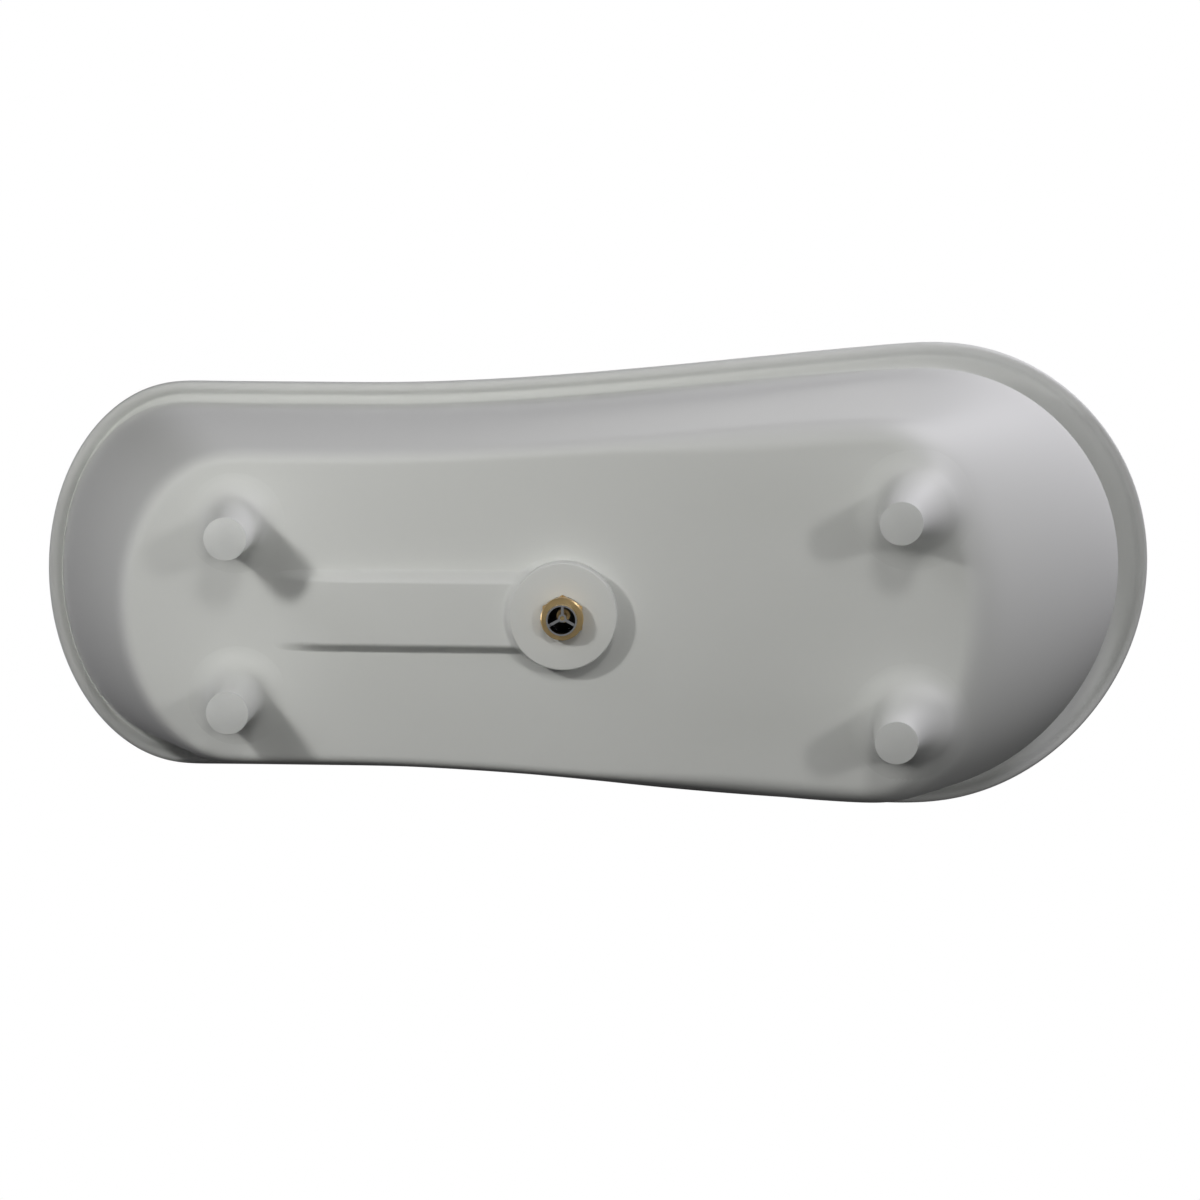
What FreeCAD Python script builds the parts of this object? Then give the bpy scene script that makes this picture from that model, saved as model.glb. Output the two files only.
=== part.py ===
"""Single-slipper freestanding bath on four moulded legs, with its click-clack waste.

Millimetres. +Z is up and the bath stands on its four foot pads at Z = 0. X runs along the
bath, from the low foot end (-X) to the raised head end (+X), and the XZ plane is its plane
of symmetry. The origin is the centre of the footprint, on the floor.
"""

import FreeCAD
import Part

import math
import os

V = FreeCAD.Vector
UP = V(0, 0, 1)

# ---------------------------------------------------------------- bath, overall
LENGTH = 1700.0
FOOT_RIM_Z = 582.4
HEAD_RIM_Z = 800.0
RISE_START_X = 59.7
RISE_POWER = 1.515

# ---------------------------------------------------------------- bath, plan outlines
FOOT_HALF_WIDTH = 292.4
HEAD_HALF_WIDTH = 364.4
WIDEN_FROM_X = -368.3
WIDEN_TO_X = 695.6
RIM_FOOT_END = 214.0
RIM_HEAD_END = 386.0
BASE_FOOT_X = -648.0
BASE_HEAD_X = 519.0
BASE_END = 158.0
BASE_FOOT_HALF_WIDTH = 214.0
BASE_HEAD_HALF_WIDTH = 274.0
POINTS_AROUND = 64

# ---------------------------------------------------------------- bath, heights and walls
BASE_Z = 162.0
FLOOR_Z = 190.0
DRAIN_FLOOR_Z = 184.0
WALL = 25.0
SLOPED_WALL_EXTRA = 9.0
RIM_OVERHANG = 34.0
FOOT_OVERHANG = 22.0
FOOT_OVERHANG_X = (-850.0, -600.0)
HEAD_OVERHANG = 44.0
HEAD_OVERHANG_X = (400.0, 850.0)
LIP_THICKNESS = 18.0
RIM_WIDTH = 58.0
RIM_DEPTH = 33.0
BASE_STEPS = (64.0, 48.0, 34.0, 20.0, 7.0)
HEAD_BASE_STEPS = (70.0, 58.0, 46.0, 34.0, 15.0)
HEAD_SOFTNESS_X = (50.0, 420.0)
WALL_SHARES = (0.05, 0.14, 0.32, 0.55, 0.78, 0.94)
HEAD_FULLNESS = 0.45
HEAD_UNDERCUT = 12.0
HEAD_FULLNESS_X = (150.0, 750.0)
INSIDE_SHARES = (0.78, 0.55, 0.32, 0.13)
INSIDE_TOP_DROP = 60.0
FLOOR_CORNER_STEP = 35.0
FLOOR_EDGE_STEP = 81.0
DRAIN_RINGS = (100.0, 70.0, 45.0)

# ---------------------------------------------------------------- legs and pads
PAD_THICKNESS = 3.0
PAD_RADIUS = 27.8
LEG_TOP_Z = 174.0
LEG_TIP_RADIUS = 27.8
LEG_SPREAD_POWER = 1.6
LEG_FLARE = 22.0
LEG_FLARE_POWER = 8
LEG_SECTIONS = 12
LEGS = {
    "foot": {"tip": (-472.0, 113.0), "root": (-494.0, 119.0), "wider": 8.0},
    "head": {"tip": (390.0, 141.0), "root": (432.0, 144.5), "wider": 26.0},
}

# ---------------------------------------------------------------- drain boss and overflow
DRAIN_X = -45.0
BOSS_RADIUS = 72.2
BOSS_FACE_Z = 126.0
BOSS_FLOOR = 5.0
CHAMBER_RADIUS = 54.0
BOSS_HOLE_RADIUS = 24.3
CHANNEL_HALF_WIDTH = 57.5
CHANNEL_FACE_Z = 140.0
CHANNEL_WALL = 5.0
CHANNEL_EDGE_RADIUS = 14.0
CHANNEL_END_X = -446.0
CHANNEL_RAMP = 95.0
COLLAR_RADIUS = 81.2
COLLAR_RISE = 9.0
PASSAGE_HALF_WIDTH = 45.0
DUCT_THICKNESS = 8.0
DUCT_WIDTH = 70.0
DUCT_START_X = -345.0
DUCT_INLET_LENGTH = 22.0
DUCT_CORNER_STEP = 20.0
SLOT_HEIGHT = 9.0
SLOT_WIDTH = 60.0

# ---------------------------------------------------------------- waste
HOLE_RADIUS = 26.0
RECESS_RADIUS = 37.5
FLANGE_RADIUS = 36.0
FLANGE_THICKNESS = 3.0
TOP_GASKET = 1.5
THREAD_RADIUS = 23.9
WASTE_BORE = 20.0
MOUTH_RADIUS = 26.0
MOUTH_DEPTH = 5.0
WASTE_END_Z = 111.5
OVERFLOW_SLOTS = 6
OVERFLOW_SLOT_Z = (136.0, 150.0)
OVERFLOW_SLOT_WIDTH = 11.0
SPIDER_Z = (113.5, 119.5)
SPIDER_ARMS = 3
HUB_RADIUS = 5.5
HUB_HOLE = 3.0
ARM_WIDTH = 3.6
UNDER_WASHER = 3.0
UNDER_WASHER_RADIUS = 27.4
SLIP_WASHER = 1.0
LOCK_NUT_FLATS = 53.0
LOCK_NUT_HEIGHT = 6.5
COUPLING_RADIUS = 28.4
COUPLING_Z = (103.5, 115.0)
COUPLING_LIP = 3.5
COUPLING_HOLE = 20.7
TAIL_RADIUS = 20.5
TAIL_NECK_RADIUS = 20.1
TAIL_NECK_Z = 103.0
TAIL_BORE = 18.3
TAIL_END_Z = 91.0
TAIL_FLANGE_RADIUS = 23.0
TAIL_FLANGE = 2.5

# ---------------------------------------------------------------- click-clack stopper
TRAVEL = 10.0
CAP_RADIUS = 32.0
CAP_Z = 185.0
CAP_EDGE = 3.0
CAP_CROWN = 3.0
CAP_BOSS_RADIUS = 7.0
CAP_BOSS_Z = 180.5
SEAL_RADIUS = 23.8
SEAL_Z = 182.5
STEM_RADIUS = 4.0
COLLAR_Z = (154.0, 160.0)
COLLAR_SLIDE_RADIUS = 5.7
CAM_TOP_Z = 164.0
BARREL_BORE = 6.0
BARREL_RADIUS = 9.0
BARREL_Z = 139.0
BARREL_FLOOR_Z = 143.0
POST_RADIUS = 5.5
BUSH_Z = (174.7, 179.5)
BUSH_BORE = 4.06
STUD_DEPTH = 3.0
SPRING_WIRE_RADIUS = 0.6
SPRING_COIL_RADIUS = 4.9
SPRING_COILS = 10


def smooth(value, low, high):
    """Rise smoothly from 0 at low to 1 at high."""
    u = min(max((value - low) / (high - low), 0.0), 1.0)
    return u * u * (3 - 2 * u)


def outline(foot_x, head_x, foot_end, head_end, foot_half, head_half):
    """Points round a plan outline with elliptical ends, counter-clockwise from the foot end's tip."""
    points = []
    for i in range(POINTS_AROUND):
        angle = 2 * math.pi * i / POINTS_AROUND
        x = (foot_x + head_x) / 2 - (head_x - foot_x) / 2 * math.cos(angle)
        foot_q = min(max((foot_x + foot_end - x) / foot_end, 0.0), 1.0)
        head_q = min(max((x - head_x + head_end) / head_end, 0.0), 1.0)
        rounding = math.sqrt(max(1 - foot_q ** 2, 0.0)) * math.sqrt(max(1 - head_q ** 2, 0.0))
        widening = smooth(x, WIDEN_FROM_X, WIDEN_TO_X)
        half = (foot_half + (head_half - foot_half) * widening) * rounding
        points.append((x, -half if math.sin(angle) > 0 else half))
    return points


def inset(points, distance):
    """Move each point of a plan outline inwards; distance is a number or one number for each point."""
    count = len(points)
    moved = []
    for i, (x, y) in enumerate(points):
        before = points[i - 1]
        after = points[(i + 1) % count]
        dx, dy = after[0] - before[0], after[1] - before[1]
        length = math.hypot(dx, dy)
        step = distance[i] if isinstance(distance, list) else distance
        moved.append((x - dy / length * step, y + dx / length * step))
    return moved


def between(inner, outer, shares):
    """A plan outline part of the way from one to another, with a share for each point."""
    moved = []
    for a, b, share in zip(inner, outer, shares):
        moved.append((a[0] + (b[0] - a[0]) * share, a[1] + (b[1] - a[1]) * share))
    return moved


def rim_height(x):
    """Height of the rim's top, level at the foot end and sweeping up to the head end."""
    u = min(max((x - RISE_START_X) / (LENGTH / 2 - RISE_START_X), 0.0), 1.0)
    return FOOT_RIM_Z + (HEAD_RIM_Z - FOOT_RIM_Z) * u ** RISE_POWER


def overhang(x):
    """How far the rim stands out from the wall, least at the foot end and most at the head end."""
    foot = (RIM_OVERHANG - FOOT_OVERHANG) * smooth(x, *FOOT_OVERHANG_X)
    head = (HEAD_OVERHANG - RIM_OVERHANG) * smooth(x, *HEAD_OVERHANG_X)
    return FOOT_OVERHANG + foot + head


def base_step(k):
    """Distances in from the base's edge, longer towards the head end, where the corner is softer."""
    longer = HEAD_BASE_STEPS[k] - BASE_STEPS[k]
    return [BASE_STEPS[k] + longer * smooth(x, *HEAD_SOFTNESS_X) for x, y in RIM]


def full_shares(share):
    """How far out the wall is at a share of its height, for a wall that is fuller at the head end."""
    return [1 - (1 - share) ** (1 + HEAD_FULLNESS * smooth(x, *HEAD_FULLNESS_X)) for x, y in RIM]


RIM = outline(-LENGTH / 2, LENGTH / 2, RIM_FOOT_END, RIM_HEAD_END, FOOT_HALF_WIDTH, HEAD_HALF_WIDTH)
RIM_Z = [rim_height(x) for x, y in RIM]
OVERHANG = [overhang(x) for x, y in RIM]
GROOVE_ROOM = [min((out - LIP_THICKNESS) / (RIM_OVERHANG - LIP_THICKNESS), 1.0) for out in OVERHANG]
WALL_TOP = inset(RIM, OVERHANG)
BASE_HALF_WIDTHS = (BASE_FOOT_HALF_WIDTH, BASE_HEAD_HALF_WIDTH)
BASE = outline(BASE_FOOT_X, BASE_HEAD_X, BASE_END, BASE_END, *BASE_HALF_WIDTHS)


def level(plan, z):
    """A ring of control points at one height."""
    return [V(x, y, z) for x, y in plan]


def under_rim(step_in, drop):
    """A ring that follows the rim, moved in from its edge and down from its top."""
    plan = inset(RIM, step_in)
    return [V(x, y, z - drop) for (x, y), z in zip(plan, RIM_Z)]


def wall_ring(share, thickness, top_drop, bottom_z):
    """A ring on the wall, share of the way up, on the outside or a thickness further in."""
    extra = [thickness + (SLOPED_WALL_EXTRA if thickness else 0.0) * smooth(x, 0, LENGTH / 2) for x, y in RIM]
    plan = inset(between(BASE, WALL_TOP, full_shares(share)), extra)
    ring = []
    for (x, y), rim_z in zip(plan, RIM_Z):
        ring.append(V(x, y, bottom_z + (rim_z - top_drop - bottom_z) * share))
    return ring


def round_ring(radius, z):
    """A ring of control points round the drain."""
    ring = []
    for i in range(POINTS_AROUND):
        angle = 2 * math.pi * i / POINTS_AROUND
        ring.append(V(DRAIN_X - radius * math.cos(angle), -radius * math.sin(angle), z))
    return ring


def mixed(ring_a, ring_b, share, z):
    """A ring between two others, at its own height."""
    return [V(a.x + (b.x - a.x) * share, a.y + (b.y - a.y) * share, z) for a, b in zip(ring_a, ring_b)]


def outside_rings():
    """Control rings from the flat underside, up the outside of the wall, to the rim."""
    rings = [level(inset(BASE, base_step(k)), BASE_Z) for k in range(len(BASE_STEPS))]
    for share in WALL_SHARES:
        rings.append(wall_ring(share, 0.0, RIM_DEPTH - 8, BASE_Z))
    return rings


def rim_rings():
    """Control rings round the rolled rim, from under its overhang, over its edge, to the inside."""
    rings = []
    undercut = [HEAD_UNDERCUT * smooth(x, *HEAD_FULLNESS_X) for x, y in RIM]
    for step_out, drop in ((0, RIM_DEPTH - 8), (2, RIM_DEPTH - 12), (12, RIM_DEPTH - 15)):
        share = 1 - step_out / 12
        steps = [out - step_out * room + cut * share for out, room, cut in zip(OVERHANG, GROOVE_ROOM, undercut)]
        rings.append(under_rim(steps, drop))
    profile = [
        (LIP_THICKNESS, RIM_DEPTH - 12),
        (14.0, RIM_DEPTH - 3),
        (8.0, RIM_DEPTH),
        (1.0, RIM_DEPTH - 1),
        (-1.0, RIM_DEPTH / 2),
        (2.5, 3.0),
        (14.0, -0.6),
        (30.0, -0.2),
        (RIM_WIDTH - 14, 1.5),
        (RIM_WIDTH - 3, 8.0),
        (RIM_WIDTH + 2, 26.0),
    ]
    return rings + [under_rim(step_in, drop) for step_in, drop in profile]


def inside_rings():
    """Control rings down the inside of the wall and across the floor to the drain."""
    rings = []
    for share in INSIDE_SHARES:
        rings.append(wall_ring(share, WALL, INSIDE_TOP_DROP, FLOOR_Z))
    rings.append(level(inset(BASE, FLOOR_CORNER_STEP), FLOOR_Z))
    floor_edge = level(inset(BASE, FLOOR_EDGE_STEP), FLOOR_Z)
    drain_edge = round_ring(DRAIN_RINGS[0], DRAIN_FLOOR_Z)
    rings.append(floor_edge)
    rings.append(mixed(floor_edge, drain_edge, 0.5, (FLOOR_Z + DRAIN_FLOOR_Z) / 2))
    rings.append(drain_edge)
    for radius in DRAIN_RINGS[1:]:
        rings.append(round_ring(radius, DRAIN_FLOOR_Z))
    return rings


def sharpened(ring):
    """Control points moved outwards so that the smooth curve passes close to the given points."""
    count = len(ring)
    return [ring[i] - (ring[i - 1] + ring[(i + 1) % count] - ring[i] * 2) * (1 / 6) for i in range(count)]


def skin(rings):
    """One smooth closed band through rings of control points."""
    rings = [sharpened(ring) for ring in rings]
    around = POINTS_AROUND
    along = len(rings)
    poles = [[rings[j][i] for j in range(along)] for i in range(around)]
    surface = Part.BSplineSurface()
    surface.buildFromPolesMultsKnots(
        poles,
        [1] * (around + 1),
        [4] + [1] * (along - 4) + [4],
        list(range(around + 1)),
        list(range(along - 2)),
        True,
        False,
        3,
        3,
    )
    return surface


def closed_solid(surface):
    """The solid inside a band whose two open ends are level."""
    side = surface.toShape()
    ends = [edge for edge in side.Edges if edge.isClosed() and edge.BoundBox.ZLength < 0.1]
    caps = [Part.Face(Part.Wire([edge])) for edge in ends]
    shell = Part.Shell([side] + caps)
    shell.sewShape()
    solid = Part.Solid(shell)
    if solid.Volume < 0:
        solid.reverse()
    return solid


def cylinder(radius, low, high, x=DRAIN_X, y=0.0):
    """An upright cylinder, on the drain's axis unless it is placed elsewhere."""
    return Part.makeCylinder(radius, high - low, V(x, y, low), UP)


def tube(outer, inner, low, high):
    """An upright tube on the drain's axis."""
    return cylinder(outer, low, high).cut(cylinder(inner, low - 1, high + 1))


def box(low, high):
    """A box between two corners."""
    return Part.makeBox(high[0] - low[0], high[1] - low[1], high[2] - low[2], V(*low))


def leg(end, side):
    """A moulded leg that flares into the underside; side is 1 or -1."""
    sizes = LEGS[end]
    height = LEG_TOP_Z - PAD_THICKNESS
    wires = []
    for k in range(LEG_SECTIONS):
        share = k / (LEG_SECTIONS - 1)
        drift = share ** LEG_SPREAD_POWER
        x = sizes["tip"][0] + (sizes["root"][0] - sizes["tip"][0]) * drift
        y = sizes["tip"][1] + (sizes["root"][1] - sizes["tip"][1]) * drift
        centre = V(x, side * y, PAD_THICKNESS + height * share)
        radius = LEG_TIP_RADIUS + sizes["wider"] * drift + LEG_FLARE * share ** LEG_FLARE_POWER
        circle = Part.Circle(centre, UP, radius)
        wires.append(Part.Wire([circle.toShape()]))
    return Part.makeLoft(wires, True, False)


def duct_path():
    """Control points of the overflow duct's centre line, along the slab and up the foot end's wall."""
    low_z = (BASE_Z + FLOOR_Z) / 2
    path = [V(DUCT_START_X, 0, low_z), V((DUCT_START_X + BASE_FOOT_X) / 2, 0, low_z)]
    path.append(V(BASE_FOOT_X + DUCT_CORNER_STEP, 0, low_z))
    for share in reversed(INSIDE_SHARES):
        outer = wall_ring(share, 0.0, RIM_DEPTH - 8, BASE_Z)[0]
        inner = wall_ring(share, WALL, INSIDE_TOP_DROP, FLOOR_Z)[0]
        path.append((outer + inner) * 0.5)
    return path


def offset_curve(path, distance):
    """A smooth curve beside a path in the XZ plane."""
    moved = []
    for i, point in enumerate(path):
        along = path[min(i + 1, len(path) - 1)] - path[max(i - 1, 0)]
        along.normalize()
        moved.append(point + V(-along.z, 0, along.x) * distance)
    count = len(moved)
    curve = Part.BSplineCurve()
    curve.buildFromPolesMultsKnots(moved, [4] + [1] * (count - 4) + [4], list(range(count - 2)), False, 3)
    return curve.toShape()


def overflow_duct():
    """The space that overflow water runs through, from the slot inside the bath to the channel."""
    path = duct_path()
    low = offset_curve(path, -DUCT_THICKNESS / 2)
    high = offset_curve(path, DUCT_THICKNESS / 2)
    start = Part.makeLine(low.firstVertex().Point, high.firstVertex().Point)
    end = Part.makeLine(low.lastVertex().Point, high.lastVertex().Point)
    face = Part.Face(Part.Wire(Part.__sortEdges__([low, end, high, start])))
    face.translate(V(0, -DUCT_WIDTH / 2, 0))
    duct = face.extrude(V(0, DUCT_WIDTH, 0))
    top = path[-1]
    slot_low = (top.x, -SLOT_WIDTH / 2, top.z - SLOT_HEIGHT)
    slot_high = (top.x + 2 * WALL, SLOT_WIDTH / 2, top.z)
    inlet_low = (DUCT_START_X - DUCT_INLET_LENGTH, -DUCT_WIDTH / 2, BASE_Z - 1)
    inlet_high = (DUCT_START_X, DUCT_WIDTH / 2, (BASE_Z + FLOOR_Z) / 2)
    return duct.fuse([box(slot_low, slot_high), box(inlet_low, inlet_high)])


def bath_body():
    """The cast bath: wall, rolled rim, floor, moulded legs, drain hole and overflow duct."""
    band = skin(outside_rings() + rim_rings() + inside_rings())
    solid = closed_solid(band)
    legs = [leg(end, side) for end in LEGS for side in (1, -1)]
    solid = solid.fuse(legs)
    recess_z = DRAIN_FLOOR_Z - FLANGE_THICKNESS - TOP_GASKET
    recess = cylinder(RECESS_RADIUS, recess_z, DRAIN_FLOOR_Z + 10)
    hole = cylinder(HOLE_RADIUS, BASE_Z - 1, DRAIN_FLOOR_Z)
    return solid.cut([recess, hole, overflow_duct()])


def foot_pad(end, side):
    """A round pad under a leg."""
    x, y = LEGS[end]["tip"]
    return cylinder(PAD_RADIUS, 0, PAD_THICKNESS, x, side * y)


def drain_boss():
    """The round housing under the drain, hollow round the waste so that overflow water gets in."""
    disc = cylinder(BOSS_RADIUS, BOSS_FACE_Z, BASE_Z)
    rim_edge = [e for e in disc.Edges if e.BoundBox.ZMax < BOSS_FACE_Z + 0.1]
    disc = disc.makeFillet(1.5, rim_edge)
    chamber = cylinder(CHAMBER_RADIUS, BOSS_FACE_Z + BOSS_FLOOR, BASE_Z + 1)
    hole = cylinder(BOSS_HOLE_RADIUS, BOSS_FACE_Z - 1, BASE_Z)
    inlet_low = (DRAIN_X - BOSS_RADIUS - 1, -PASSAGE_HALF_WIDTH, CHANNEL_FACE_Z + CHANNEL_WALL)
    inlet = box(inlet_low, (DRAIN_X, PASSAGE_HALF_WIDTH, BASE_Z + 1))
    return disc.cut([chamber, hole, inlet])


def overflow_channel_cover():
    """The shallow trough bonded under the base, from the foot end's duct to the drain boss."""
    profile = [
        V(DRAIN_X, 0, CHANNEL_FACE_Z),
        V(CHANNEL_END_X + CHANNEL_RAMP, 0, CHANNEL_FACE_Z),
        V(CHANNEL_END_X, 0, BASE_Z - 0.5),
        V(CHANNEL_END_X, 0, BASE_Z),
        V(DRAIN_X, 0, BASE_Z),
    ]
    face = Part.Face(Part.makePolygon(profile + profile[:1]))
    face.translate(V(0, -CHANNEL_HALF_WIDTH, 0))
    trough = face.extrude(V(0, 2 * CHANNEL_HALF_WIDTH, 0))
    long_edges = [
        e for e in trough.Edges
        if e.BoundBox.YLength < 0.1 and e.BoundBox.ZMax < CHANNEL_FACE_Z + 0.1 and e.BoundBox.XLength > 50
    ]
    trough = trough.makeFillet(CHANNEL_EDGE_RADIUS, long_edges)
    collar_low = CHANNEL_FACE_Z - COLLAR_RISE
    collar = Part.makeCone(BOSS_RADIUS, COLLAR_RADIUS, COLLAR_RISE, V(DRAIN_X, 0, collar_low), UP)
    collar = collar.fuse(cylinder(COLLAR_RADIUS, CHANNEL_FACE_Z, BASE_Z))
    collar = collar.common(box((DRAIN_X - 100, -100, 0), (DRAIN_X - 35, 100, BASE_Z)))
    passage_low = (CHANNEL_END_X + CHANNEL_RAMP - 20, -PASSAGE_HALF_WIDTH, CHANNEL_FACE_Z + CHANNEL_WALL)
    passage = box(passage_low, (DRAIN_X, PASSAGE_HALF_WIDTH, BASE_Z + 1))
    around_boss = cylinder(BOSS_RADIUS, BOSS_FACE_Z, BASE_Z + 1)
    return trough.fuse(collar).cut([passage, around_boss]).removeSplitter()


def waste_body():
    """The flanged and threaded outlet that clamps through the floor, with its three-armed spider."""
    flange_z = DRAIN_FLOOR_Z - FLANGE_THICKNESS
    solid = cylinder(FLANGE_RADIUS, flange_z, DRAIN_FLOOR_Z)
    solid = solid.fuse(cylinder(THREAD_RADIUS, WASTE_END_Z, flange_z + 1))
    mouth = Part.makeCone(
        WASTE_BORE, MOUTH_RADIUS, MOUTH_DEPTH, V(DRAIN_X, 0, DRAIN_FLOOR_Z - MOUTH_DEPTH), UP
    )
    solid = solid.cut([cylinder(WASTE_BORE, WASTE_END_Z - 1, DRAIN_FLOOR_Z + 1), mouth])
    slot_low, slot_high = OVERFLOW_SLOT_Z
    for k in range(OVERFLOW_SLOTS):
        half = OVERFLOW_SLOT_WIDTH / 2
        slot = box((DRAIN_X + WASTE_BORE - 2, -half, slot_low), (DRAIN_X + THREAD_RADIUS + 2, half, slot_high))
        slot.rotate(V(DRAIN_X, 0, 0), UP, 360 * k / OVERFLOW_SLOTS)
        solid = solid.cut(slot)
    spider = cylinder(HUB_RADIUS, *SPIDER_Z)
    for k in range(SPIDER_ARMS):
        arm_low = (DRAIN_X, -ARM_WIDTH / 2, SPIDER_Z[0])
        arm = box(arm_low, (DRAIN_X + WASTE_BORE + 1, ARM_WIDTH / 2, SPIDER_Z[1]))
        arm.rotate(V(DRAIN_X, 0, 0), UP, -90 + 360 * k / SPIDER_ARMS)
        spider = spider.fuse(arm)
    spider = spider.cut(cylinder(HUB_HOLE, SPIDER_Z[0] - 1, SPIDER_Z[1] + 1))
    return solid.fuse(spider).removeSplitter()


def flange_gasket():
    """The ring between the flange and the bath's recess."""
    low = DRAIN_FLOOR_Z - FLANGE_THICKNESS - TOP_GASKET
    return tube(FLANGE_RADIUS - 0.5, HOLE_RADIUS, low, low + TOP_GASKET)


def under_washer():
    """The rubber washer against the drain boss."""
    return tube(UNDER_WASHER_RADIUS, THREAD_RADIUS + 0.2, BOSS_FACE_Z - UNDER_WASHER, BOSS_FACE_Z)


def slip_washer():
    """The thin hard washer that lets the lock nut turn against the rubber."""
    high = BOSS_FACE_Z - UNDER_WASHER
    return tube(UNDER_WASHER_RADIUS - 1, THREAD_RADIUS + 0.2, high - SLIP_WASHER, high)


def lock_nut():
    """The hexagonal nut that clamps the waste to the bath, with both faces' corners chamfered."""
    high = BOSS_FACE_Z - UNDER_WASHER - SLIP_WASHER
    low = high - LOCK_NUT_HEIGHT
    corner = LOCK_NUT_FLATS / 2 / math.cos(math.pi / 6)
    corners = []
    for k in range(7):
        angle = math.radians(90 + 60 * k)
        corners.append(V(DRAIN_X + corner * math.cos(angle), corner * math.sin(angle), low))
    prism = Part.Face(Part.makePolygon(corners)).extrude(V(0, 0, LOCK_NUT_HEIGHT))
    top = Part.makeCone(corner + 4, corner - 1.5, LOCK_NUT_HEIGHT, V(DRAIN_X, 0, low), UP)
    bottom = Part.makeCone(corner - 1.5, corner + 4, LOCK_NUT_HEIGHT, V(DRAIN_X, 0, low), UP)
    return prism.common(top).common(bottom).cut(cylinder(THREAD_RADIUS, low - 1, high + 1))


def coupling_nut():
    """The round nut that holds the tailpiece up against the waste's end."""
    low, high = COUPLING_Z
    nut = cylinder(COUPLING_RADIUS, low, high)
    nut = nut.makeChamfer(1.2, [e for e in nut.Edges if e.BoundBox.ZLength < 0.1])
    thread = cylinder(THREAD_RADIUS, low + COUPLING_LIP, high + 1)
    return nut.cut([thread, cylinder(COUPLING_HOLE, low - 1, high)])


def tailpiece():
    """The plain outlet tube, with the flange that its nut and seal bear on."""
    flange_low = COUPLING_Z[0] + COUPLING_LIP
    flange = cylinder(TAIL_FLANGE_RADIUS, flange_low, flange_low + TAIL_FLANGE)
    pipe = cylinder(TAIL_RADIUS, TAIL_END_Z, TAIL_NECK_Z)
    neck = cylinder(TAIL_NECK_RADIUS, TAIL_NECK_Z, flange_low)
    bore = cylinder(TAIL_BORE, TAIL_END_Z - 1, WASTE_END_Z)
    return pipe.fuse([neck, flange]).cut(bore).removeSplitter()


def tail_seal():
    """The flat seal between the tailpiece's flange and the waste's end."""
    low = COUPLING_Z[0] + COUPLING_LIP + TAIL_FLANGE
    return tube(TAIL_FLANGE_RADIUS, WASTE_BORE, low, WASTE_END_Z)


def cartridge_barrel():
    """The barrel of the click mechanism, on a post that its stud screws into the spider's hub."""
    barrel = cylinder(BARREL_RADIUS, BARREL_Z, BUSH_Z[0])
    barrel = barrel.cut(cylinder(BARREL_BORE, BARREL_FLOOR_Z, BUSH_Z[0] + 1))
    post = cylinder(POST_RADIUS, SPIDER_Z[1], BARREL_Z)
    stud = cylinder(HUB_HOLE, SPIDER_Z[1] - STUD_DEPTH, SPIDER_Z[1] + 1)
    return barrel.fuse([post, stud]).removeSplitter()


def guide_bush():
    """The bush that closes the barrel and guides the plunger's stem."""
    bush = cylinder(BARREL_RADIUS, *BUSH_Z)
    top_edge = [e for e in bush.Edges if e.BoundBox.ZMin > BUSH_Z[1] - 0.1]
    return bush.makeChamfer(1.0, top_edge).cut(cylinder(BUSH_BORE, BUSH_Z[0] - 1, BUSH_Z[1] + 1))


def plunger():
    """The stem that the cap screws to, with the collar that the spring pushes."""
    stem = cylinder(STEM_RADIUS, COLLAR_Z[0], CAP_Z)
    return stem.fuse(cylinder(COLLAR_SLIDE_RADIUS, *COLLAR_Z)).removeSplitter()


def latch_cam():
    """The ring above the collar that turns at each press, and holds or frees the stopper."""
    ring = tube(COLLAR_SLIDE_RADIUS, STEM_RADIUS, COLLAR_Z[1], CAM_TOP_Z)
    for k in range(3):
        notch = box((DRAIN_X, -1.0, CAM_TOP_Z - 2), (DRAIN_X + COLLAR_SLIDE_RADIUS + 1, 1.0, CAM_TOP_Z + 1))
        notch.rotate(V(DRAIN_X, 0, 0), UP, 120 * k)
        ring = ring.cut(notch)
    return ring


def click_spring():
    """The spring under the plunger, squeezed with the stopper shut until its coils are pressed together."""
    low = BARREL_FLOOR_Z + SPRING_WIRE_RADIUS
    pitch = (COLLAR_Z[0] - BARREL_FLOOR_Z - 2 * SPRING_WIRE_RADIUS) / (SPRING_COILS - 1)
    spring = None
    for k in range(SPRING_COILS):
        coil = Part.makeTorus(SPRING_COIL_RADIUS, SPRING_WIRE_RADIUS, V(DRAIN_X, 0, low + pitch * k), UP)
        spring = coil if spring is None else spring.fuse(coil)
    return spring


def stopper_cap():
    """The domed cap that closes the waste, with the boss that screws onto the stem."""
    rim_z = CAP_Z + CAP_EDGE
    dome_radius = (CAP_RADIUS ** 2 + CAP_CROWN ** 2) / (2 * CAP_CROWN)
    dome = Part.makeSphere(dome_radius, V(DRAIN_X, 0, rim_z + CAP_CROWN - dome_radius))
    disc = cylinder(CAP_RADIUS, CAP_Z, rim_z + CAP_CROWN + 1).common(dome)
    edges = [e for e in disc.Edges if e.BoundBox.ZLength < 0.1]
    disc = disc.makeFillet(0.8, edges)
    boss = cylinder(CAP_BOSS_RADIUS, CAP_BOSS_Z, CAP_Z + 1)
    return disc.fuse(boss).cut(cylinder(STEM_RADIUS, CAP_BOSS_Z - 1, CAP_Z)).removeSplitter()


def stopper_seal():
    """The rubber ring under the cap that shuts on the waste's mouth."""
    return tube(SEAL_RADIUS, CAP_BOSS_RADIUS, SEAL_Z, CAP_Z)


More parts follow.
